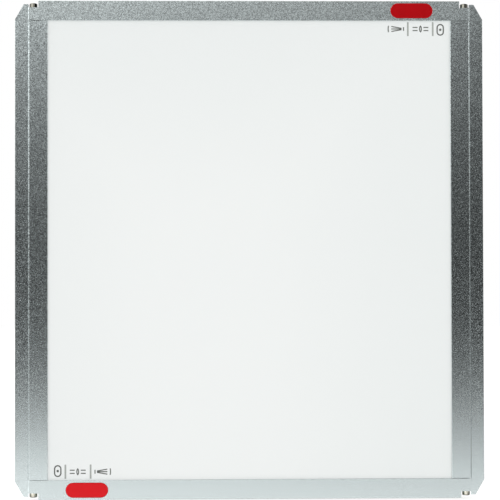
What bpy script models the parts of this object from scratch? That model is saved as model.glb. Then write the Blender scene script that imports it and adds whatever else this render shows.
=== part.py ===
# Slide-in lens frame for a soft light: four aluminium rails, screwed together at the corners,
# hold one translucent sheet in a slot. Flat tongues on the two sides slide into the fixture.
# Metres, +Z up. The frame stands on its bottom edge, its front faces -Y, and the origin is at
# the middle of the bottom edge.

import math

import bmesh
import bpy
from mathutils import Matrix, Vector

# Driving dimensions
FRAME_HEIGHT = 0.3486
RAIL_SPAN = 0.3102          # across the outer faces of the side rails
FRAME_DEPTH = 0.0080
RAIL_WIDTH = 0.0136         # top and bottom rails, seen from the front
SIDE_WIDTH = 0.0138         # side rails, without their tongues
TONGUE_WIDTH = 0.0093
TONGUE_THICKNESS = 0.0024   # half way through the depth of the frame
TONGUE_INSET = 0.0019       # how far the tongue stops short of the frame's outer edges
CHAMFER_ACROSS = 0.0062
CHAMFER_ALONG = 0.0107

FRONT_LIP = 0.0009
SLOT_DEPTH = 0.0055
SLOT_WIDTH = 0.0049
SHEET_THICKNESS = 0.0030
SHEET_BITE = 0.0045         # how far the sheet reaches into each slot
GASKET_THICKNESS = 0.0010
GASKET_WIDTH = 0.0040

NOTCH_WIDTH = 0.0074
NOTCH_DEPTH = 0.0046
SCREW_INSET = 0.0035        # from the side rail's outer face to the screw's axis
PORT_RADIUS = 0.00175
SHANK_RADIUS = 0.00145
SHANK_LENGTH = 0.0250
HEAD_RADIUS = 0.00275
HEAD_LENGTH = 0.0029
HEAD_EDGE = 0.0004
SOCKET_FLATS = 0.0025
SOCKET_DEPTH = 0.0015

MARKER_LENGTH = 0.0292
MARKER_HEIGHT = 0.0100
MARKER_THICKNESS = 0.0003
MARKER_OFFSET = 0.1140      # from the frame's centre line
MARKER_RISE = 0.0067        # from the rail's outer edge to the marker's middle

OUTER_ROUND = 0.0010        # outer edges of the side rails
EDGE_ROUND = 0.00015
END_EASE_ALONG = 0.0004      # deburred front and back edges at the ends of the cross rails
END_EASE_DEEP = 0.00011
GAP = 0.0003                # clearance between touching pieces
OVERCUT = 0.0020            # how far a cutter runs past what it cuts

# Worked out from the above
FRONT = -FRAME_DEPTH / 2
BACK = FRAME_DEPTH / 2
RAIL_OUTER = RAIL_SPAN / 2
RAIL_INNER = RAIL_OUTER - SIDE_WIDTH
TONGUE_OUTER = RAIL_OUTER + TONGUE_WIDTH
TONGUE_FRONT = -TONGUE_THICKNESS / 2
TONGUE_BACK = TONGUE_THICKNESS / 2
SLOT_FRONT = FRONT + FRONT_LIP
SLOT_BACK = SLOT_FRONT + SLOT_WIDTH
SCREW_X = RAIL_OUTER - SCREW_INSET


def start_clean():
    for old in list(bpy.data.objects):
        bpy.data.objects.remove(old, do_unlink=True)


def make_collection(name):
    collection = bpy.data.collections.new(name)
    bpy.context.scene.collection.children.link(collection)
    return collection


def make_material(name, colour, roughness, metallic):
    material = bpy.data.materials.new(name)
    material.use_nodes = True
    shader = material.node_tree.nodes["Principled BSDF"]
    shader.inputs["Base Color"].default_value = (*colour, 1.0)
    shader.inputs["Roughness"].default_value = roughness
    shader.inputs["Metallic"].default_value = metallic
    return material


def move_to(obj, collection):
    for old in list(obj.users_collection):
        old.objects.unlink(obj)
    collection.objects.link(obj)


def finish_part(obj, material, sharp_degrees=30):
    obj.data.materials.clear()
    obj.data.materials.append(material)
    obj.data.shade_smooth()
    obj.data.set_sharp_from_angle(angle=math.radians(sharp_degrees))
    move_to(obj, parts)
    return obj


def arc(centre, radius, start, end, steps):
    """Points of an arc, in degrees, both ends included."""
    turns = [math.radians(start + (end - start) * i / steps) for i in range(steps + 1)]
    return [(centre[0] + radius * math.cos(t), centre[1] + radius * math.sin(t)) for t in turns]


def extrude_outline(name, loops, length):
    """A flat outline with its holes, extruded by length about its own plane, as a welded mesh."""
    curve = bpy.data.curves.new(name + "_outline", "CURVE")
    curve.dimensions = "2D"
    curve.fill_mode = "BOTH"
    curve.extrude = length / 2
    for points in loops:
        spline = curve.splines.new("POLY")
        spline.points.add(len(points) - 1)
        for point, (x, y) in zip(spline.points, points):
            point.co = (x, y, 0.0, 1.0)
        spline.use_cyclic_u = True
    flat = bpy.data.objects.new(name + "_outline", curve)
    bpy.context.scene.collection.objects.link(flat)
    bpy.context.view_layer.update()
    evaluated = flat.evaluated_get(bpy.context.evaluated_depsgraph_get())
    mesh = bpy.data.meshes.new_from_object(evaluated)
    welder = bmesh.new()
    welder.from_mesh(mesh)
    bmesh.ops.remove_doubles(welder, verts=welder.verts, dist=0.000005)
    bmesh.ops.recalc_face_normals(welder, faces=welder.faces)
    welder.to_mesh(mesh)
    welder.free()
    bpy.data.objects.remove(flat, do_unlink=True)
    bpy.data.curves.remove(curve)
    mesh.name = name
    solid = bpy.data.objects.new(name, mesh)
    bpy.context.scene.collection.objects.link(solid)
    return solid


def make_box(name, low, high):
    low = Vector(low)
    high = Vector(high)
    bpy.ops.mesh.primitive_cube_add(size=1, location=(low + high) / 2)
    box = bpy.context.active_object
    box.name = name
    box.scale = high - low
    bpy.ops.object.transform_apply(location=False, rotation=False, scale=True)
    return box


def make_cylinder(name, radius, low_z, high_z, x, sides=24):
    bpy.ops.mesh.primitive_cylinder_add(
        vertices=sides, radius=radius, depth=high_z - low_z, location=(x, 0, (low_z + high_z) / 2)
    )
    cylinder = bpy.context.active_object
    cylinder.name = name
    return cylinder


def cut(target, cutter):
    cutter.hide_render = True
    cutter.display_type = "WIRE"
    move_to(cutter, cutters)
    difference = target.modifiers.new("cut_" + cutter.name, "BOOLEAN")
    difference.operation = "DIFFERENCE"
    difference.solver = "EXACT"
    difference.object = cutter


def obround(length, height, steps=10):
    """A bar with half-round ends, about its own middle."""
    radius = height / 2
    reach = length / 2 - radius
    return arc((reach, 0), radius, -90, 90, steps) + arc((-reach, 0), radius, 90, 270, steps)


def side_section():
    """The side rail seen from above, on the +X side: slot inboard, tongue outboard."""
    slot_floor = RAIL_INNER + SLOT_DEPTH
    small = EDGE_ROUND
    big = OUTER_ROUND
    outline = arc((RAIL_INNER + small, FRONT + small), small, 180, 270, 2)
    outline += arc((RAIL_OUTER - big, FRONT + big), big, 270, 360, 6)
    outline += [(RAIL_OUTER, TONGUE_FRONT)]
    outline += arc((TONGUE_OUTER - small, TONGUE_FRONT + small), small, 270, 360, 2)
    outline += arc((TONGUE_OUTER - small, TONGUE_BACK - small), small, 0, 90, 2)
    outline += [(RAIL_OUTER, TONGUE_BACK)]
    outline += arc((RAIL_OUTER - big, BACK - big), big, 0, 90, 6)
    outline += arc((RAIL_INNER + small, BACK - small), small, 90, 180, 2)
    outline += [(RAIL_INNER, SLOT_BACK), (slot_floor, SLOT_BACK)]
    outline += [(slot_floor, SLOT_FRONT), (RAIL_INNER, SLOT_FRONT)]
    return outline


def make_side_rail(name, side, material):
    """One extrusion. Its body is milled off at both ends, which leaves the tongue standing on."""
    port = arc((SCREW_X, 0), PORT_RADIUS, 0, 345, 23)
    loops = [[(side * x, y) for x, y in loop] for loop in (side_section(), port)]
    low = TONGUE_INSET
    high = FRAME_HEIGHT - TONGUE_INSET
    rail = extrude_outline(name, loops, high - low)
    rail.location.z = (low + high) / 2
    shoulder = RAIL_WIDTH + GAP
    mill_inner = RAIL_INNER - OVERCUT
    inner, outer = sorted((side * mill_inner, side * RAIL_OUTER))
    for end, z0, z1 in (
        ("bottom", low - OVERCUT, shoulder),
        ("top", FRAME_HEIGHT - shoulder, high + OVERCUT),
    ):
        mill = make_box(f"{name}_{end}_mill", (inner, FRONT - OVERCUT, z0), (outer, BACK + OVERCUT, z1))
        cut(rail, mill)
        cut(rail, make_chamfer(f"{name}_{end}_chamfer", side, end, low, high))
    return finish_part(rail, material)


def make_chamfer(name, side, end, low, high):
    """A wedge that takes the tongue's outer corner off."""
    slope = CHAMFER_ALONG / CHAMFER_ACROSS
    reach = OVERCUT
    outer = TONGUE_OUTER + reach
    inner = TONGUE_OUTER - CHAMFER_ACROSS - reach
    inner_z = low - reach * slope
    outer_z = low + CHAMFER_ALONG + reach * slope
    corner_z = inner_z - reach
    wedge = [(side * inner, inner_z), (side * outer, outer_z), (side * outer, corner_z)]
    wedge += [(side * inner, corner_z)]
    if end == "top":
        wedge = [(x, low + high - z) for x, z in wedge]
    cutter = extrude_outline(name, [wedge], FRAME_DEPTH + OVERCUT)
    cutter.matrix_world = Matrix.Rotation(math.radians(90), 4, "X")
    return cutter


def cross_section():
    """The bottom rail seen from its end, as (y, z): slot along its inner edge."""
    slot_floor = RAIL_WIDTH - SLOT_DEPTH
    small = EDGE_ROUND
    outline = arc((FRONT + small, small), small, 180, 270, 2)
    outline += arc((BACK - small, small), small, 270, 360, 2)
    outline += arc((BACK - small, RAIL_WIDTH - small), small, 0, 90, 2)
    outline += [(SLOT_BACK, RAIL_WIDTH), (SLOT_BACK, slot_floor)]
    outline += [(SLOT_FRONT, slot_floor), (SLOT_FRONT, RAIL_WIDTH)]
    outline += arc((FRONT + small, RAIL_WIDTH - small), small, 90, 180, 2)
    return outline


def make_end_ease(name, side, face):
    """A shallow wedge that takes the edge off one end of a cross rail, on its front or back face."""
    slope = END_EASE_DEEP / END_EASE_ALONG
    end_x = RAIL_OUTER - GAP
    inner = end_x - END_EASE_ALONG - OVERCUT
    outer = end_x + OVERCUT
    inner_y = BACK + OVERCUT * slope
    outer_y = BACK - END_EASE_DEEP - OVERCUT * slope
    wedge = [(inner, inner_y), (outer, outer_y), (outer, BACK + OVERCUT), (inner, BACK + OVERCUT)]
    wedge = [(side * x, face * y) for x, y in wedge]
    return extrude_outline(name, [wedge], RAIL_WIDTH + OVERCUT)


def make_cross_rail(name, end, material):
    """Top or bottom rail, between the tongues, with its end notches, screw holes and marker pocket."""
    flip = 1 if end == "bottom" else -1
    base = 0 if end == "bottom" else FRAME_HEIGHT
    rail = extrude_outline(name, [cross_section()], 2 * (RAIL_OUTER - GAP))
    # The section's own X and Y become the frame's Y and Z.
    lay = Matrix(((0, 0, 1, 0), (1, 0, 0, 0), (0, 1, 0, 0), (0, 0, 0, 1)))
    if end == "top":
        lay = Matrix.Translation((0, 0, FRAME_HEIGHT)) @ Matrix.Diagonal((1, 1, -1, 1)) @ lay
        rail.data.flip_normals()
    rail.data.transform(lay)
    for side, word in ((-1, "left"), (1, "right")):
        x0, x1 = sorted((side * (RAIL_OUTER - NOTCH_WIDTH), side * (RAIL_OUTER + OVERCUT)))
        z0, z1 = sorted((base - flip * OVERCUT, base + flip * NOTCH_DEPTH))
        y0, y1 = FRONT - OVERCUT, BACK + OVERCUT
        cut(rail, make_box(f"{name}_{word}_notch", (x0, y0, z0), (x1, y1, z1)))
        for face in (-1, 1):
            ease = make_end_ease(f"{name}_{word}_ease_{'back' if face > 0 else 'front'}", side, face)
            ease.location.z = base + flip * RAIL_WIDTH / 2
            cut(rail, ease)
        z0, z1 = sorted((base + flip * (NOTCH_DEPTH - OVERCUT), base + flip * (RAIL_WIDTH - OVERCUT)))
        cut(rail, make_cylinder(f"{name}_{word}_screw_hole", PORT_RADIUS, z0, z1, side * SCREW_X))
    pocket_length = MARKER_LENGTH + 2 * GAP
    pocket_height = MARKER_HEIGHT + 2 * GAP
    pocket_floor = FRONT + MARKER_THICKNESS + GAP
    pocket = extrude_outline(name + "_pocket", [obround(pocket_length, pocket_height)], OVERCUT)
    pocket.matrix_world = stand_up(marker_x(end), pocket_floor - OVERCUT / 2, marker_z(end))
    cut(rail, pocket)
    return finish_part(rail, material)


def marker_x(end):
    return MARKER_OFFSET if end == "top" else -MARKER_OFFSET


def marker_z(end):
    return FRAME_HEIGHT - MARKER_RISE if end == "top" else MARKER_RISE


def stand_up(x, y, z):
    """Turns an outline drawn flat so that its own Y points up, and puts it at a point."""
    return Matrix.Translation((x, y, z)) @ Matrix.Rotation(math.radians(90), 4, "X")


def make_marker(end, material):
    marker = extrude_outline("marker_" + end, [obround(MARKER_LENGTH, MARKER_HEIGHT)], MARKER_THICKNESS)
    marker.matrix_world = stand_up(marker_x(end), FRONT + MARKER_THICKNESS / 2, marker_z(end))
    return finish_part(marker, material)


def screw_profile():
    """Half outline of a cap screw as (radius, height), from the head's outer end to the shank's tip."""
    edge = HEAD_EDGE
    profile = [(0.0, HEAD_LENGTH), (HEAD_RADIUS - edge, HEAD_LENGTH)]
    profile += [(HEAD_RADIUS, HEAD_LENGTH - edge), (HEAD_RADIUS, 0.0), (SHANK_RADIUS, 0.0)]
    profile += [(SHANK_RADIUS, edge - SHANK_LENGTH), (SHANK_RADIUS - edge, -SHANK_LENGTH)]
    profile += [(0.0, -SHANK_LENGTH)]
    return profile


def make_corner_screw(end, word, side, material):
    """The head stands in the rail's notch, and its axis runs into the side rail's port."""
    name = f"corner_screw_{end}_{word}"
    points = [(radius, 0.0, height) for radius, height in screw_profile()]
    mesh = bpy.data.meshes.new(name)
    mesh.from_pydata(points, [(i, i + 1) for i in range(len(points) - 1)], [])
    screw = bpy.data.objects.new(name, mesh)
    bpy.context.scene.collection.objects.link(screw)
    turn = screw.modifiers.new("turn", "SCREW")
    turn.steps = 24
    turn.render_steps = 24
    turn.use_merge_vertices = True
    turn.merge_threshold = 0.00001
    head_base = NOTCH_DEPTH - GAP
    z = head_base if end == "bottom" else FRAME_HEIGHT - head_base
    if end == "bottom":
        screw.rotation_euler.x = math.pi
    screw.location = (side * SCREW_X, 0, z)
    corner_radius = SOCKET_FLATS / math.sqrt(3)
    floor = z - SOCKET_DEPTH + HEAD_LENGTH
    mouth = floor + SOCKET_DEPTH + OVERCUT
    if end == "bottom":
        floor, mouth = (2 * z - floor, 2 * z - mouth)
    low, high = sorted((floor, mouth))
    cut(screw, make_cylinder(name + "_socket", corner_radius, low, high, side * SCREW_X, 6))
    return finish_part(screw, material)


def make_lens_sheet(material):
    reach_x = RAIL_INNER + SHEET_BITE
    low = RAIL_WIDTH - SHEET_BITE
    front = SLOT_FRONT + GAP
    sheet = make_box(
        "lens_sheet",
        (-reach_x, front, low),
        (reach_x, front + SHEET_THICKNESS, FRAME_HEIGHT - low),
    )
    return finish_part(sheet, material)


def make_gaskets(material):
    """Foam strips behind the sheet, one in each rail's slot. They stop short of the screws."""
    front = SLOT_FRONT + GAP + SHEET_THICKNESS + GAP
    back = front + GASKET_THICKNESS
    side_start = RAIL_INNER + GAP
    for word, side in (("left", -1), ("right", 1)):
        x0, x1 = sorted((side * side_start, side * (side_start + GASKET_WIDTH)))
        low = RAIL_WIDTH + 2 * GAP
        strip = make_box("gasket_" + word, (x0, front, low), (x1, back, FRAME_HEIGHT - low))
        finish_part(strip, material)
    outer = RAIL_WIDTH - GAP
    reach = RAIL_INNER + SHEET_BITE
    for word, z0, z1 in (
        ("bottom", outer - GASKET_WIDTH, outer),
        ("top", FRAME_HEIGHT - outer, FRAME_HEIGHT - outer + GASKET_WIDTH),
    ):
        strip = make_box("gasket_" + word, (-reach, front, z0), (reach, back, z1))
        finish_part(strip, material)


start_clean()
parts = make_collection("lens_frame")
cutters = make_collection("lens_frame_cutters")

side_metal = make_material("satin_anodised_side", (0.72, 0.75, 0.75), 0.22, 1.0)
cross_metal = make_material("satin_anodised_cross", (0.76, 0.79, 0.79), 0.30, 1.0)
screw_metal = make_material("stainless_screw", (0.66, 0.64, 0.56), 0.15, 1.0)
sheet_plastic = make_material("opal_sheet", (0.88, 0.90, 0.89), 0.35, 0.0)
marker_red = make_material("red_marker", (0.62, 0.02, 0.03), 0.30, 0.6)
foam = make_material("grey_foam", (0.12, 0.12, 0.12), 0.9, 0.0)

for rail_name, rail_side in (("left_side_rail", -1), ("right_side_rail", 1)):
    make_side_rail(rail_name, rail_side, side_metal)
for rail_end in ("top", "bottom"):
    make_cross_rail(rail_end + "_rail", rail_end, cross_metal)
    make_marker(rail_end, marker_red)
    make_corner_screw(rail_end, "left", -1, screw_metal)
    make_corner_screw(rail_end, "right", 1, screw_metal)
make_lens_sheet(sheet_plastic)
make_gaskets(foam)
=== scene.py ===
# Looks of the slide-in lens frame: finishes on the rails, and finer screws, sheet, marks and foam
import math

import bmesh
import bpy
from mathutils import Matrix, Vector


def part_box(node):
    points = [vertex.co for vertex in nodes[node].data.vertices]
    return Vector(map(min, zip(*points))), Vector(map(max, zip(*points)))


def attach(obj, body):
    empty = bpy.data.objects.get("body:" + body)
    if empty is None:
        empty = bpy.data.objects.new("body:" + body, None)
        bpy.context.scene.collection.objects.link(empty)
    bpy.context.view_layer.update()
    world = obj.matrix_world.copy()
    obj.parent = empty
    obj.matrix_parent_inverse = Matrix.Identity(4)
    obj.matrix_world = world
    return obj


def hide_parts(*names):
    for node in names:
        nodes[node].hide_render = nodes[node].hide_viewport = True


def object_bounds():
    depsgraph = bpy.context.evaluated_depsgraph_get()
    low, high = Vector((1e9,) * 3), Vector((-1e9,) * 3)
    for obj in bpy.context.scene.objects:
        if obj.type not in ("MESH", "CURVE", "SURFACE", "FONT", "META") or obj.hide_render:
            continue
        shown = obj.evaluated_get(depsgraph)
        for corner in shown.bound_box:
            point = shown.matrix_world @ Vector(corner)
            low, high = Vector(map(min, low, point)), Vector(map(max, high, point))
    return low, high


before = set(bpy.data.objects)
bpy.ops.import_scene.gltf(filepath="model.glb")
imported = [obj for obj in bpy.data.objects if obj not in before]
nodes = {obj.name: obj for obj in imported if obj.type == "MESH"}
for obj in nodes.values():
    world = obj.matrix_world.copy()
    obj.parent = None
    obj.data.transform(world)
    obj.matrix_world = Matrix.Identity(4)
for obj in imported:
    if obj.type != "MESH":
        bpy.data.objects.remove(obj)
cadLow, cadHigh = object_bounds()
bodyName = "root"

sheetLow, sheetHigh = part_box("lens_sheet")
openHalfWidth = -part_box("left_side_rail")[1].x      # clear opening of the frame
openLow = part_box("bottom_rail")[1].z
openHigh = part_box("top_rail")[0].z
openMiddle = (openLow + openHigh) / 2


# a shader socket that takes part in sums
class Wire:
    def __init__(self, graph, socket):
        self.graph = graph
        self.socket = socket

    def calc(self, operation, *values):
        numbers = dict(enumerate(values))
        return self.graph.add("Math", {"operation": operation}, numbers)

    def __add__(self, other):
        return self.calc("ADD", self, other)

    def __sub__(self, other):
        return self.calc("SUBTRACT", self, other)

    def __rsub__(self, other):
        return self.calc("SUBTRACT", other, self)

    def __mul__(self, other):
        return self.calc("MULTIPLY", self, other)

    def __pow__(self, other):
        return self.calc("POWER", self, other)

    def __gt__(self, other):
        return self.calc("GREATER_THAN", self, other)

    def above(self, other):             # the larger of the two
        return self.calc("MAXIMUM", self, other)

    def below(self, other):             # the smaller of the two
        return self.calc("MINIMUM", self, other)

    def size(self):
        return self.calc("ABSOLUTE", self)

    def fade(self, start, end):         # 0 before start, 1 past end
        spread = {"Value": self, "From Min": start, "From Max": end}
        return self.graph.add("MapRange", {"interpolation_type": "SMOOTHSTEP"}, spread)

    __radd__ = __add__
    __rmul__ = __mul__


class Graph:
    def __init__(self, tree):
        self.tree = tree

    def node(self, kind, settings=None, sockets=None):
        made = self.tree.nodes.new("ShaderNode" + kind)
        for name, value in (settings or {}).items():
            if name == "stops":
                self.setStops(made.color_ramp, value)
            else:
                setattr(made, name, value)
        for key, value in (sockets or {}).items():
            if isinstance(value, Wire):
                self.tree.links.new(value.socket, made.inputs[key])
            else:
                made.inputs[key].default_value = value
        return made

    def add(self, kind, settings=None, sockets=None, out=0):
        return Wire(self, self.node(kind, settings, sockets).outputs[out])

    def setStops(self, ramp, stops):
        while len(ramp.elements) < len(stops):
            ramp.elements.new(1.0)
        for element, (place, grey) in zip(ramp.elements, stops):
            element.position = place
            element.color = (grey, grey, grey, 1.0)

    def grey(self, stops, place):
        ramp = self.add("ValToRGB", {"stops": stops}, {"Fac": place})
        return self.add("RGBToBW", sockets={0: ramp})

    def objectPoint(self):
        return self.add("TexCoord", out="Object")

    def parts(self, vector):
        split = self.node("SeparateXYZ", sockets={"Vector": vector})
        return [Wire(self, out) for out in split.outputs]

    def stretch(self, vector, scale):
        return self.add("Mapping", sockets={"Vector": vector, "Scale": scale})

    def noise(self, vector, scale, detail=2.0):
        sockets = {"Vector": vector, "Scale": scale, "Detail": detail}
        return self.add("TexNoise", {"noise_dimensions": "3D"}, sockets)

    def cells(self, vector, scale, out):
        return self.add("TexVoronoi", {"feature": "F1"}, {"Vector": vector, "Scale": scale}, out)

    def tint(self, mask, first, second):
        node = self.node("Mix", {"data_type": "RGBA"}, {0: mask})
        node.inputs[6].default_value = (*first, 1.0)
        node.inputs[7].default_value = (*second, 1.0)
        return Wire(self, node.outputs[2])

    def bump(self, height, distance):
        return self.add("Bump", sockets={"Height": height, "Distance": distance})


def makeMaterial(name, fixed, vary=None):
    material = bpy.data.materials.new(name)
    material.use_nodes = True
    material.node_tree.nodes.clear()
    graph = Graph(material.node_tree)
    shader = graph.node("BsdfPrincipled", sockets=fixed)
    for socket, wire in (vary(graph) if vary else {}).items():
        graph.tree.links.new(wire.socket, shader.inputs[socket])
    graph.node("OutputMaterial", sockets={"Surface": Wire(graph, shader.outputs[0])})
    return material


# the blasting of all four rails, over faint clouds and the lines of the drawing die
blastLook = {
    "flakes": 1900.0, "blotch": 1500.0, "cloud": 9.0, "dieLines": 900.0,
    "fineBelow": 0.03, "coarseAbove": 0.16, "leastFlake": 0.05,
    "unevenShade": 0.04, "unevenRough": 0.03, "smoothest": 0.05,
    "blotchRise": 0.9, "lineRise": 0.06, "depth": 0.00001,
}
sideRailFinish = {
    "tint": (0.900, 0.995, 1.0), "mean": 0.735, "swing": 0.56,
    "roughness": 0.15, "spread": 0.42, "drawn": (1.0, 1.0, 0.01),
}
crossRailFinish = {
    "tint": (0.900, 0.995, 0.998), "mean": 0.762, "swing": 0.46,
    "roughness": 0.20, "spread": 0.38, "drawn": (0.01, 1.0, 1.0),
}


def blastedMetal(name, look):
    def vary(graph):
        point = graph.objectPoint()
        flake = graph.parts(graph.cells(point, blastLook["flakes"], "Color"))[0]
        blotch = graph.noise(point, blastLook["blotch"], 1.0)
        cloud = graph.noise(point, blastLook["cloud"])
        lines = graph.noise(graph.stretch(point, look["drawn"]), blastLook["dieLines"])
        height = graph.parts(point)[2]
        coarse = height.fade(blastLook["fineBelow"], blastLook["coarseAbove"])
        least = blastLook["leastFlake"]
        sparkle = (flake - 0.5) * (coarse * (1.0 - least) + least)
        shade = 0.5 + sparkle + (cloud + lines - 1.0) * blastLook["unevenShade"]
        rough = look["roughness"] + (blotch - 0.5) * look["spread"]
        rough = rough + (cloud - 0.5) * blastLook["unevenRough"]
        low = look["mean"] * (1.0 - look["swing"])
        high = min(1.0, look["mean"] * (1.0 + look["swing"]))
        relief = blotch * blastLook["blotchRise"] + lines * blastLook["lineRise"]
        return {
            "Base Color": graph.tint(shade, [low * part for part in look["tint"]],
                                     [high * part for part in look["tint"]]),
            "Roughness": rough.above(blastLook["smoothest"]),
            "Normal": graph.bump(relief, blastLook["depth"]),
        }

    return makeMaterial(name, {"Metallic": 1.0}, vary)


sideRailMetal = blastedMetal("blastedAnodisedSide", sideRailFinish)
crossRailMetal = blastedMetal("blastedAnodisedCross", crossRailFinish)
railMetals = {
    "left_side_rail": sideRailMetal, "right_side_rail": sideRailMetal,
    "top_rail": crossRailMetal, "bottom_rail": crossRailMetal,
}
for rail, metal in railMetals.items():
    nodes[rail].data.materials.clear()
    nodes[rail].data.materials.append(metal)
print("rails finished")


def newPiece(name, mesh, material, replaced=()):
    piece = bpy.data.objects.new(name, mesh)
    bpy.context.scene.collection.objects.link(piece)
    mesh.materials.clear()
    mesh.materials.append(material)
    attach(piece, bodyName)
    if replaced:
        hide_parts(*replaced)
    return piece


def meshFrom(name, work, sharpDegrees=35):
    bmesh.ops.remove_doubles(work, verts=work.verts, dist=1e-7)
    bmesh.ops.recalc_face_normals(work, faces=work.faces)
    mesh = bpy.data.meshes.new(name)
    work.to_mesh(mesh)
    work.free()
    mesh.shade_smooth()
    mesh.set_sharp_from_angle(angle=math.radians(sharpDegrees))
    return mesh


def ringOf(work, radius, height, steps, wobble=None):
    ring = []
    for step in range(steps):
        turn = 2 * math.pi * step / steps
        reach = radius + (wobble(turn) if wobble else 0.0)
        ring.append(work.verts.new((reach * math.cos(turn), reach * math.sin(turn), height)))
    return ring


def bridge(work, first, second):
    count = len(first)
    for step in range(count):
        after = (step + 1) % count
        work.faces.new((first[step], first[after], second[after], second[step]))


def loft(name, loops, sharpDegrees=35):          # closed solid through a list of rings of points
    work = bmesh.new()
    rings = [[work.verts.new(point) for point in loop] for loop in loops]
    for first, second in zip(rings, rings[1:]):
        bridge(work, first, second)
    work.faces.new(list(reversed(rings[0])))
    work.faces.new(rings[-1])
    return meshFrom(name, work, sharpDegrees)


def roundedBar(halfLength, halfHeight, radius, steps):
    # an outline with rounded corners, drawn in X and Z
    points = []
    for sideX, sideZ, start in ((1, 1, 0), (-1, 1, 90), (-1, -1, 180), (1, -1, 270)):
        for step in range(steps + 1):
            turn = math.radians(start + 90 * step / steps)
            x = sideX * (halfLength - radius) + radius * math.cos(turn)
            z = sideZ * (halfHeight - radius) + radius * math.sin(turn)
            points.append((x, z))
    return points


def easedEdge(y, edge, way):             # (y, inset) stations from a flat face round its eased edge
    middle = 0.3 * edge
    return [(y, edge * 2), (y, edge), (y + way * middle, middle), (y + way * edge, 0.0)]


# a geometry nodes tree with one named input for each size
class Tree:
    def __init__(self, name, sizes):
        self.tree = bpy.data.node_groups.new(name, "GeometryNodeTree")
        face = self.tree.interface
        face.new_socket("Geometry", in_out="INPUT", socket_type="NodeSocketGeometry")
        face.new_socket("Geometry", in_out="OUTPUT", socket_type="NodeSocketGeometry")
        self.sizes = sizes
        for label, value in sizes.items():
            kind = "NodeSocketInt" if isinstance(value, int) else "NodeSocketFloat"
            face.new_socket(label, in_out="INPUT", socket_type=kind)
        self.source = self.tree.nodes.new("NodeGroupInput")
        self.result = self.tree.nodes.new("NodeGroupOutput")

    def given(self, label):
        return self.source.outputs[label]

    def put(self, kind, settings=None, sockets=None):
        made = self.tree.nodes.new(kind)
        for name, value in (settings or {}).items():
            setattr(made, name, value)
        for key, value in (sockets or {}).items():
            if isinstance(value, bpy.types.NodeSocket):
                self.tree.links.new(value, made.inputs[key])
            else:
                made.inputs[key].default_value = value
        return made

    def sum(self, operation, first, second):
        made = self.put("ShaderNodeMath", {"operation": operation}, {0: first, 1: second})
        return made.outputs[0]

    def place(self, x=0.0, y=0.0, z=0.0):
        return self.put("ShaderNodeCombineXYZ", sockets={0: x, 1: y, 2: z}).outputs[0]

    def close(self, instances, material):
        real = self.put("GeometryNodeRealizeInstances", sockets={0: instances}).outputs[0]
        coat = self.put("GeometryNodeSetMaterial", sockets={0: real, "Material": material})
        self.tree.links.new(coat.outputs[0], self.result.inputs[0])


def growMesh(name, tree):                 # runs a tree on a bare object and keeps the plain mesh
    host = bpy.data.objects.new(name + "Host", bpy.data.meshes.new(name + "Host"))
    bpy.context.scene.collection.objects.link(host)
    growth = host.modifiers.new("grow", "NODES")
    growth.node_group = tree.tree
    for item in tree.tree.interface.items_tree:
        if item.item_type == "SOCKET" and item.in_out == "INPUT" and item.name in tree.sizes:
            growth[item.identifier] = tree.sizes[item.name]
    bpy.context.view_layer.update()
    grownHost = host.evaluated_get(bpy.context.evaluated_depsgraph_get())
    grown = bpy.data.meshes.new_from_object(grownHost)
    bpy.data.objects.remove(host)
    grown.name = name
    return grown


screwLook = {
    "headRadius": 0.00275, "headLength": 0.0029, "seatDrop": 0.00028, "steps": 96,
    "crown": 0.0007, "crownSteps": 8, "underEdge": 0.00015,
    "socketFlats": 0.0025, "socketDepth": 0.0015, "socketLead": 0.00018,
    "socketTaper": 0.98, "socketRim": 1.22,
    "threadRadius": 0.00147, "threadDepth": 0.00026, "pitch": 0.0005, "turnSteps": 20,
    "neck": 0.0006, "ridgeSink": 0.00003, "ridgeHalf": 0.42, "crestHalf": 0.12, "runOut": 0.05,
}
# the upper screws' dark, streaked heads are a painted reflection in their colour, not a stain
steelLook = {
    "colour": (0.555, 0.541, 0.462), "turned": 1800.0, "smudge": 420.0, "streak": 620.0,
    "turnedScale": (1.0, 1.0, 8.0), "streakScale": (1.0, 1.0, 0.04), "streakEdges": (0.40, 0.56),
    "paintedReflectionHeights": (0.10, 0.25), "streakLight": 0.55, "paintedReflectionDark": 0.02,
    "smudgeDark": 0.86, "smudgeSwing": 0.28, "roughness": 0.05, "turnedRough": 0.05,
    "depth": 0.0000015,
}


def stainless(graph):
    look = steelLook
    point = graph.objectPoint()
    turned = graph.noise(graph.stretch(point, look["turnedScale"]), look["turned"])
    smudge = graph.noise(point, look["smudge"])
    streak = graph.noise(graph.stretch(point, look["streakScale"]), look["streak"], 1.0)
    streak = streak.fade(*look["streakEdges"])
    upper = graph.parts(point)[2].fade(*look["paintedReflectionHeights"])      # the upper screws get a painted dark reflection with lighter streaks
    paintedReflection = (1.0 - upper) + upper * (streak * look["streakLight"] + look["paintedReflectionDark"])
    shade = paintedReflection * (look["smudgeDark"] + smudge * look["smudgeSwing"])
    return {
        "Base Color": graph.tint(shade, (0.0, 0.0, 0.0), look["colour"]),
        "Roughness": look["roughness"] + turned * look["turnedRough"],
        "Normal": graph.bump(turned, look["depth"]),
    }


screwSteel = makeMaterial("brightStainless", {"Metallic": 1.0}, stainless)


def hexRadius(turn, flats):              # distance to a hexagon's side in a direction
    sector = (turn + math.pi / 6) % (math.pi / 3) - math.pi / 6
    return flats / 2 / math.cos(sector)


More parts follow.
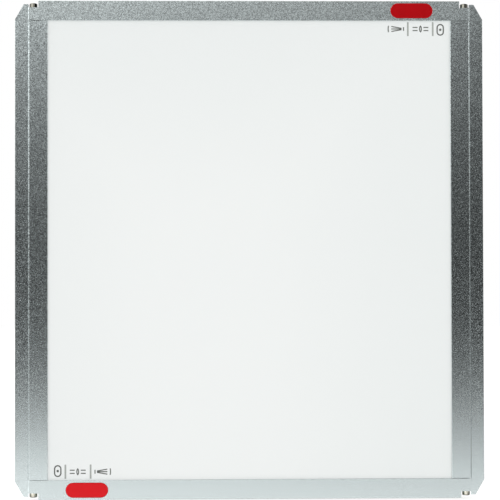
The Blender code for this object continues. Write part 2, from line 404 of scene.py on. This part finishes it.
def screwMesh(name, seat, tip, shankEnd, x, y):
    # everything is worked out with the head's outer end up, then turned to its corner
    look = screwLook
    steps = look["steps"]
    headHigh = abs(tip - seat)
    radius = look["headRadius"]
    flats = look["socketFlats"]
    floorFlats = flats * look["socketTaper"]
    work = bmesh.new()
    rings = [
        ringOf(work, 0.0, headHigh - look["socketDepth"], steps,
               lambda turn: hexRadius(turn, floorFlats)),
        ringOf(work, 0.0, headHigh - look["socketLead"], steps,
               lambda turn: hexRadius(turn, flats)),
        ringOf(work, flats / 2 * look["socketRim"], headHigh, steps),
    ]
    crown = look["crown"]
    for step in range(look["crownSteps"] + 1):
        turn = math.radians(90 - 90 * step / look["crownSteps"])
        reach = radius - crown + crown * math.cos(turn)
        rings.append(ringOf(work, reach, headHigh - crown + crown * math.sin(turn), steps))
    core = look["threadRadius"] - look["threadDepth"]
    under = look["underEdge"]
    for reach, height in ((radius, under), (radius - under, 0.0), (look["threadRadius"], 0.0),
                          (core, -look["neck"]), (core, shankEnd)):
        rings.append(ringOf(work, reach, height, steps))
    for first, second in zip(rings, rings[1:]):
        bridge(work, first, second)
    work.faces.new(rings[0])
    work.faces.new(rings[-1])
    addThread(work, -look["neck"], shankEnd)
    bmesh.ops.recalc_face_normals(work, faces=work.faces)
    flip = Matrix.Identity(4) if tip > seat else Matrix.Rotation(math.pi, 4, "X")
    bmesh.ops.transform(work, matrix=Matrix.Translation((x, y, seat)) @ flip, verts=work.verts)
    return meshFrom(name, work, 40)


def addThread(work, top, bottom):        # one closed ridge that winds round the core
    look = screwLook
    steps = look["turnSteps"]
    pitch = look["pitch"]
    count = int((top - bottom - pitch) / pitch * steps)
    core = look["threadRadius"] - look["threadDepth"] - look["ridgeSink"]
    half = pitch * look["ridgeHalf"]
    crestHalf = look["crestHalf"] * half
    previous = None
    for step in range(count + 1):
        turn = 2 * math.pi * step / steps
        z = top - pitch / 2 - pitch * step / steps
        fade = min(1.0, step / steps, (count - step) / steps)       # runs out at both ends
        crest = core + (look["threadRadius"] - core) * max(fade, look["runOut"])
        section = []
        for reach, rise in ((core, half), (crest, crestHalf), (crest, -crestHalf), (core, -half)):
            spot = (reach * math.cos(turn), reach * math.sin(turn), z + rise)
            section.append(work.verts.new(spot))
        if previous:
            bridge(work, previous, section)
        else:
            work.faces.new(section)
        previous = section
    work.faces.new(list(reversed(previous)))


for corner in ("top_left", "top_right", "bottom_left", "bottom_right"):
    low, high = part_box("corner_screw_" + corner)
    middle = (low + high) / 2
    upward = corner.startswith("top")
    way = 1 if upward else -1
    tip = high.z if upward else low.z
    seat = tip - way * (screwLook["headLength"] + screwLook["seatDrop"])
    shankEnd = way * ((low.z if upward else high.z) - seat)
    mesh = screwMesh("cornerScrew_" + corner, seat, tip, shankEnd, middle.x, middle.y)
    newPiece("cornerScrew_" + corner, mesh, screwSteel, ["corner_screw_" + corner])
print("corner screws made")


sheetLook = {
    "edge": 0.0003, "corner": 0.002, "cornerSteps": 4, "forward": 0.00024, "backSink": 0.0003,
    "ribPitch": 0.0025, "ribFill": 0.996, "ribHeight": 0.00024, "ribSides": 12, "ribMargin": 0.0006,
}
# the rim tone is painted shade toward the sheet's sides and top
opalLook = {
    "middle": (0.833, 0.851, 0.842), "rim": (0.785, 0.812, 0.804), "haze": 14.0, "fine": 5200.0,
    "brightestX": -0.03, "paintedShadeSpan": (0.02, 0.17), "paintedShadePart": 0.8, "hazePart": 0.2,
    "roughness": 0.34, "fineRough": 0.08, "depth": 0.0000012, "ior": 1.49,
}


def opal(graph):
    look = opalLook
    point = graph.objectPoint()
    x, y, z = graph.parts(point)
    haze = graph.noise(point, look["haze"])
    fine = graph.noise(point, look["fine"], 1.0)
    # painted shade: the colour darkens from just left of the middle toward the sides and the top,
    # over a faint random haze
    out = (x - look["brightestX"]).size().above(z - openMiddle)
    shade = out.fade(*look["paintedShadeSpan"]) * look["paintedShadePart"] + haze * look["hazePart"]
    return {
        "Base Color": graph.tint(shade, look["middle"], look["rim"]),
        "Roughness": look["roughness"] + fine * look["fineRough"],
        "Normal": graph.bump(fine, look["depth"]),
    }


opalPlastic = makeMaterial("opalSheet", {"Metallic": 0.0, "IOR": opalLook["ior"]}, opal)


def ribTree(material):                   # a row of upright ribs, centred on the origin
    pitch = sheetLook["ribPitch"]
    margin = sheetLook["ribMargin"]
    sizes = {
        "Pitch": pitch, "Half Width": pitch / 2 * sheetLook["ribFill"],
        "Height": sheetLook["ribHeight"], "Length": openHigh - openLow - 2 * margin,
        "Sides": sheetLook["ribSides"], "Count": int(2 * (openHalfWidth - margin) / pitch),
    }
    tree = Tree("lensRibs", sizes)
    bar = tree.put("GeometryNodeMeshCylinder", sockets={
        "Vertices": tree.given("Sides"), "Radius": 1.0, "Depth": tree.given("Length"),
    })
    scale = tree.place(tree.given("Half Width"), tree.given("Height"), 1.0)
    rib = tree.put("GeometryNodeTransform", sockets={0: bar.outputs[0], "Scale": scale})
    steps = tree.sum("SUBTRACT", tree.given("Count"), 1.0)
    first = tree.sum("MULTIPLY", tree.sum("MULTIPLY", steps, -0.5), tree.given("Pitch"))
    row = tree.put("GeometryNodeMeshLine", sockets={
        "Count": tree.given("Count"), "Start Location": tree.place(first),
        "Offset": tree.place(tree.given("Pitch")),
    })
    ribs = tree.put("GeometryNodeInstanceOnPoints", sockets={
        "Points": row.outputs[0], "Instance": rib.outputs[0],
    })
    tree.close(ribs.outputs[0], material)
    return tree


def sheetMesh(front, backFace):
    halfZ = (sheetHigh.z - sheetLow.z) / 2
    middleZ = (sheetHigh.z + sheetLow.z) / 2
    edge = sheetLook["edge"]
    loops = []
    for y, inset in easedEdge(front, edge, 1) + easedEdge(backFace, edge, -1)[::-1]:
        outline = roundedBar(sheetHigh.x - inset, halfZ - inset,
                             sheetLook["corner"], sheetLook["cornerSteps"])
        loops.append([(x, y, z + middleZ) for x, z in outline])
    return loft("lensPlate", loops)


# the plate's back is sunk a little, so that the ribs stay within the sheet's thickness
sheetFront = sheetLow.y - sheetLook["forward"]
sheetBack = sheetHigh.y - sheetLook["backSink"]
plate = bmesh.new()
plate.from_mesh(sheetMesh(sheetFront, sheetBack))
ribs = growMesh("lensRibs", ribTree(opalPlastic))
ribs.transform(Matrix.Translation((0, sheetBack, openMiddle)))
plate.from_mesh(ribs)
newPiece("lensSheet", meshFrom("lensSheet", plate, 50), opalPlastic, ["lens_sheet"])
print("lens sheet made")


# plain symbols and dividing bars; places are from the frame's middle and its bottom edge
markLook = {
    "thick": 0.00003, "lift": 0.00001, "stroke": 0.00074, "bar": 0.00118, "badgeStroke": 0.00088,
    "bars": (-0.12904, -0.11149), "barLow": 0.0146, "barHigh": 0.0244,
    "badge": (-0.13436, 0.01995), "badgeWide": 0.00525, "badgeHigh": 0.0083,
    "icons": (-0.12044, -0.10289), "iconZ": 0.01940, "iconWidth": 0.0111, "iconHeight": 0.0044,
    "lensBow": 1.9, "rayRise": 0.5, "rayStart": 0.38,
    "fanStart": -0.75, "fanEnd": 0.55, "fanNarrow": 0.22, "fanWide": 0.80,
    "fanArc": 1.95, "fanSwing": 12.0, "sourceHigh": 0.6,
}
inkLook = {
    "badge": ((0.085, 0.090, 0.083), (0.125, 0.130, 0.122)),
    "icons": ((0.105, 0.113, 0.103), (0.145, 0.155, 0.142)),
    "bars": ((0.330, 0.350, 0.328), (0.400, 0.420, 0.395)),
    "wear": 2600.0, "wornFrom": 0.3, "wornTo": 0.8, "roughness": 0.45, "wornRough": 0.15,
}


def ink(name, kind):
    def vary(graph):
        worn = graph.noise(graph.objectPoint(), inkLook["wear"])
        patches = worn.fade(inkLook["wornFrom"], inkLook["wornTo"])
        return {
            "Base Color": graph.tint(patches, *inkLook[kind]),
            "Roughness": inkLook["roughness"] + worn * inkLook["wornRough"],
        }

    return makeMaterial(name, {"Metallic": 0.0}, vary)


def strokePath(work, points, width, front, back, closed=False):
    # a flat line of even width through a list of (x, z) points, as a thin solid
    count = len(points)
    still = Vector((0, 0))
    section = []
    for index in range(count):
        here = Vector(points[index])
        goesOn = closed or index < count - 1
        cameFrom = closed or index > 0
        run = (Vector(points[(index + 1) % count]) - here).normalized() if goesOn else still.copy()
        run += (here - Vector(points[index - 1])).normalized() if cameFrom else still
        run.normalize()
        across = Vector((-run.y, run.x)) * width / 2
        left, right = here + across, here - across
        corners = ((left, front), (right, front), (right, back), (left, back))
        section.append([work.verts.new((spot.x, y, spot.y)) for spot, y in corners])
    pairs = list(zip(section, section[1:]))
    if closed:
        pairs.append((section[-1], section[0]))
    for first, second in pairs:
        bridge(work, first, second)
    if not closed:
        work.faces.new(section[0])
        work.faces.new(list(reversed(section[-1])))


def arcPoints(x, z, radius, start, end, steps):
    turns = [math.radians(start + (end - start) * step / steps) for step in range(steps + 1)]
    return [(x + radius * math.cos(turn), z + radius * math.sin(turn)) for turn in turns]


def badge(draw):                         # a plain upright ring with a dot in it
    x, z = markLook["badge"]
    width = markLook["badgeStroke"]
    halfWide = (markLook["badgeWide"] - width) / 2
    outline = roundedBar(halfWide, (markLook["badgeHigh"] - width) / 2, halfWide, 8)
    draw([(x + a, z + b) for a, b in outline], True, width)
    draw(arcPoints(x, z, width * 0.5, 0, 330, 11), True, width)


def lensIcon(draw):                      # a two-sided lens with level rays on both sides
    x, z = markLook["icons"][0], markLook["iconZ"]
    half = markLook["iconHeight"] / 2
    bow = half * markLook["lensBow"]
    swing = math.degrees(math.asin(half / bow))
    offset = bow * math.cos(math.radians(swing))
    right = arcPoints(x - offset, z, bow, -swing, swing, 8)
    left = arcPoints(x + offset, z, bow, 180 - swing, 180 + swing, 8)
    draw(right + left[1:-1], True)
    reach = markLook["iconWidth"] / 2
    inner = reach * markLook["rayStart"]
    for way in (-1, 1):
        level = z + way * markLook["rayRise"] * half
        for side in (-1, 1):
            draw([(x + side * reach, level), (x + side * inner, level)])


def wideIcon(draw):                      # rays that fan out into a wide arc
    x, z = markLook["icons"][1], markLook["iconZ"]
    half = markLook["iconHeight"] / 2
    reach = markLook["iconWidth"] / 2
    near, far = x + reach * markLook["fanStart"], x + reach * markLook["fanEnd"]
    for way in (-1, 0, 1):
        draw([(near, z + way * half * markLook["fanNarrow"]),
              (far, z + way * half * markLook["fanWide"])])
    swing = markLook["fanSwing"]
    draw(arcPoints(x - reach, z, reach * markLook["fanArc"], -swing, swing, 6))
    source = half * markLook["sourceHigh"]
    draw([(x - reach, z - source), (x - reach, z + source)])


def bars(draw):
    for x in markLook["bars"]:
        draw([(x, markLook["barLow"]), (x, markLook["barHigh"])], False, markLook["bar"])


def markMesh(name, shapes, turned):
    work = bmesh.new()
    back = sheetFront - markLook["lift"]
    front = back - markLook["thick"]

    def draw(points, closed=False, width=markLook["stroke"]):
        strokePath(work, points, width, front, back, closed)

    for shape in shapes:
        shape(draw)
    if turned:                           # the same marks, half a turn round the frame's middle
        middle = Vector((0, 0, (cadLow.z + cadHigh.z) / 2))
        spin = Matrix.Translation(middle) @ Matrix.Rotation(math.pi, 4, "Y")
        spin = spin @ Matrix.Translation(-middle)
        bmesh.ops.transform(work, matrix=spin, verts=work.verts)
    return meshFrom(name, work)


printedKinds = (
    ("printedBadge", [badge], ink("badgeInk", "badge")),
    ("printedIcons", [lensIcon, wideIcon], ink("iconInk", "icons")),
    ("printedBars", [bars], ink("barInk", "bars")),
)
for turned, word in ((False, "Low"), (True, "High")):
    for kind, shapes, material in printedKinds:
        newPiece(kind + word, markMesh(kind + word, shapes, turned), material)
print("printed marks made")


markerLook = {
    "edge": 0.00015, "side": 0.00022, "arcSteps": 24,
    "dark": (0.79, 0.0002, 0.006), "light": (0.83, 0.0003, 0.007),
    "grain": 2400.0, "cloud": 90.0, "cloudFrom": 0.3, "cloudTo": 0.7,
    "roughness": 0.27, "grainRough": 0.06, "coat": 0.36, "coatRoughness": 0.10,
}


def redFoil(graph):
    point = graph.objectPoint()
    grain = graph.noise(point, markerLook["grain"])
    cloud = graph.noise(point, markerLook["cloud"])
    patches = cloud.fade(markerLook["cloudFrom"], markerLook["cloudTo"])
    return {
        "Base Color": graph.tint(patches, markerLook["dark"], markerLook["light"]),
        "Roughness": markerLook["roughness"] + grain * markerLook["grainRough"],
    }


markerRed = makeMaterial("redAnodised", {
    "Metallic": 1.0, "Coat Weight": markerLook["coat"],
    "Coat Roughness": markerLook["coatRoughness"],
}, redFoil)


def markerMesh(name, low, high):
    middle = (low + high) / 2
    grow = markerLook["side"]
    halfLength = (high.x - low.x) / 2 + grow
    halfHeight = (high.z - low.z) / 2 + grow
    loops = []
    for y, inset in [(high.y, 0.0)] + easedEdge(low.y, markerLook["edge"], 1)[::-1]:
        end = halfHeight - inset
        outline = roundedBar(halfLength - inset, end, end, markerLook["arcSteps"])
        loops.append([(x + middle.x, y, z + middle.z) for x, z in outline])
    return loft(name, loops)


for end in ("top", "bottom"):
    low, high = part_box("marker_" + end)
    name = "redMarker_" + end
    newPiece(name, markerMesh(name, low, high), markerRed, ["marker_" + end])
print("red markers made")


foamLook = {
    "edge": 0.0003, "edgeSteps": 3, "swell": 0.00012, "wave": 2.4, "stations": 40,
    "dark": (0.030, 0.031, 0.032), "light": (0.105, 0.107, 0.108), "cells": 1700.0,
    "poreFrom": 0.1, "poreTo": 0.5, "roughness": 0.82, "poreRough": 0.12, "depth": 0.00012,
}


def foam(graph):
    cells = graph.cells(graph.objectPoint(), foamLook["cells"], "Distance")
    pores = cells.fade(foamLook["poreFrom"], foamLook["poreTo"])
    return {
        "Base Color": graph.tint(pores, foamLook["dark"], foamLook["light"]),
        "Roughness": foamLook["roughness"] + pores * foamLook["poreRough"],
        "Normal": graph.bump(pores, foamLook["depth"]),
    }


foamGrey = makeMaterial("siliconeFoam", {"Metallic": 0.0}, foam)


def foamMesh(name, low, high):           # a soft strip with round edges and a slight wave
    upright = high.z - low.z > high.x - low.x
    length = (high.z - low.z) if upright else (high.x - low.x)
    width = (high.x - low.x) if upright else (high.z - low.z)
    halfDeep = (high.y - low.y) / 2
    middle = (low + high) / 2
    count = foamLook["stations"]
    loops = []
    for step in range(count + 1):
        along = -length / 2 + length * step / count
        give = foamLook["swell"] * 0.5 * (1 + math.sin(step * foamLook["wave"]))
        outline = roundedBar(width / 2 - give * 0.5, halfDeep,
                             foamLook["edge"], foamLook["edgeSteps"])
        if upright:
            loops.append([(middle.x + a, middle.y + b, middle.z + along) for a, b in outline])
        else:
            loops.append([(middle.x + along, middle.y + b, middle.z + a) for a, b in outline])
    return loft(name, loops, 60)


for side in ("top", "bottom", "left", "right"):
    low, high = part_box("gasket_" + side)
    name = "foamStrip_" + side
    newPiece(name, foamMesh(name, low, high), foamGrey, ["gasket_" + side])
print("foam strips made")


# what shines on metal: the ramps run from straight down at 0 to straight up at 1
studio = {
    "floorSize": 6.0, "floorCells": 8, "floorDrop": 0.0006, "floorTone": 0.35, "floorGlow": 0.7,
    "white": 1.0, "fill": 1.02, "fillUp": 1.10, "peak": 1.845,
    "front": (
        (0.0, 0.26), (0.18, 0.34), (0.26, 0.84), (0.34, 0.835), (0.365, 0.575), (0.39, 0.300),
        (0.415, 0.093), (0.445, 0.031), (0.48, 0.027), (0.53, 0.045), (0.57, 0.073), (0.60, 0.110),
        (0.63, 0.138), (0.655, 0.145), (0.678, 0.172), (0.70, 0.370), (0.78, 0.480), (1.0, 0.420),
    ),
    "side": (
        (0.0, 0.20), (0.18, 0.26), (0.26, 0.52), (0.34, 0.55), (0.41, 0.37), (0.50, 0.27),
        (0.53, 0.32), (0.59, 0.60), (0.647, 0.86), (0.75, 0.80), (1.0, 0.45),
    ),
    "sideEdges": (0.26, 0.40), "sideGain": 0.75, "rimEdges": (0.70, 0.92), "rimDepth": 0.60,
    "gainMid": 1.4, "gainSlope": 5.8, "gainLow": 0.3, "gainReach": 0.35,
    "bowHeights": (0.08, 0.16), "bow": 18.0,
    "streak": (0.165, 0.195, 0.25, 0.30), "streakHeights": (0.02, 0.12), "streakDepth": 0.9,
    "panel": (-0.200, -0.165, -0.145, -0.095), "panelFront": (-0.20, 0.0), "panelGlow": 0.36,
}


def makeFloor():
    work = bmesh.new()
    cells = studio["floorCells"]
    bmesh.ops.create_grid(work, x_segments=cells, y_segments=cells, size=studio["floorSize"] / 2)
    mesh = bpy.data.meshes.new("floor")
    work.to_mesh(mesh)
    work.free()
    floor = bpy.data.objects.new("floor", mesh)
    bpy.context.scene.collection.objects.link(floor)
    floor.location.z = cadLow.z - studio["floorDrop"]
    tone = studio["floorTone"]
    paper = makeMaterial("paleFloor", {
        "Base Color": (tone, tone, tone, 1.0), "Roughness": 0.9,
        "Emission Color": (1.0, 1.0, 1.0, 1.0), "Emission Strength": studio["floorGlow"],
    })
    mesh.materials.append(paper)
    floor.visible_glossy = False


def band(value, start, full, fullEnd, end):      # 1 between full and fullEnd, 0 outside
    return value.fade(start, full) * (1.0 - value.fade(fullEnd, end))


def reflection(graph, x, y, z):
    # a dim patch round the camera, lighter to the left, with brighter panels on both sides
    height = z + 0.5
    wide = x.size()
    reach = studio["gainReach"]
    across = x.above(-reach).below(reach)
    gain = (z * studio["gainSlope"] + studio["gainMid"]).above(studio["gainLow"])
    bow = z.fade(*studio["bowHeights"]) * studio["bow"]
    centre = graph.grey(studio["front"], height) * (1.0 - across * gain + across ** 2.0 * bow)
    panel = band(z, *studio["panel"]) * (1.0 - y.fade(*studio["panelFront"]))
    side = graph.grey(studio["side"], height) + panel * studio["panelGlow"]
    rim = 1.0 - wide.fade(*studio["rimEdges"]) * studio["rimDepth"]
    edges = side * rim * (1.0 - across * studio["sideGain"])
    aside = wide.fade(*studio["sideEdges"])
    streak = band(wide, *studio["streak"]) * z.fade(*studio["streakHeights"])
    shine = (centre * (1.0 - aside) + edges * aside) * studio["peak"]
    return shine * (1.0 - streak * studio["streakDepth"])


def makeSky():                           # a soft white studio
    world = bpy.data.worlds.new("studio")
    bpy.context.scene.world = world
    world.use_nodes = True
    world.node_tree.nodes.clear()
    world.cycles.sampling_method = "NONE"
    graph = Graph(world.node_tree)
    x, y, z = graph.parts(graph.add("TexCoord", out="Generated"))
    fill = studio["fill"] + (studio["fillUp"] - studio["fill"]) * z.above(0.0)
    path = graph.node("LightPath")
    cameraRay = Wire(graph, path.outputs["Is Camera Ray"])
    unscattered = 1.0 - (Wire(graph, path.outputs["Diffuse Depth"]) > 0.5)
    glossyRay = Wire(graph, path.outputs["Is Glossy Ray"]) * unscattered
    other = fill * (1.0 - glossyRay) + reflection(graph, x, y, z) * glossyRay
    power = other * (1.0 - cameraRay) + studio["white"] * cameraRay
    light = graph.add("Background", sockets={"Color": (1.0, 1.0, 1.0, 1.0), "Strength": power})
    graph.node("OutputWorld", sockets={"Surface": light})


cameraLook = {
    "distance": 1.0, "azimuth": -1.154, "elevation": -0.843, "roll": -0.127,
    "lens": 102.857, "sensor": 36.0, "shiftX": 0.0001, "shiftY": -0.0013,
}


def makeCamera():
    look = cameraLook
    data = bpy.data.cameras.new("camera")
    data.lens = look["lens"]
    data.sensor_width = look["sensor"]
    data.shift_x = look["shiftX"]
    data.shift_y = look["shiftY"]
    camera = bpy.data.objects.new("camera", data)
    bpy.context.scene.collection.objects.link(camera)
    azimuth = math.radians(look["azimuth"])
    elevation = math.radians(look["elevation"])
    level = math.cos(elevation)
    back = Vector((math.sin(azimuth) * level, -math.cos(azimuth) * level, math.sin(elevation)))
    aim = Vector((0, cadLow.y, (cadLow.z + cadHigh.z) / 2))
    turn = (-back).to_track_quat("-Z", "Y").to_matrix().to_4x4()
    roll = Matrix.Rotation(math.radians(look["roll"]), 4, "Z")
    camera.matrix_world = Matrix.Translation(aim + back * look["distance"]) @ turn @ roll
    bpy.context.scene.camera = camera


makeFloor()
makeSky()
makeCamera()
bpy.context.scene.view_settings.view_transform = "Standard"
print("floor, light and camera made")
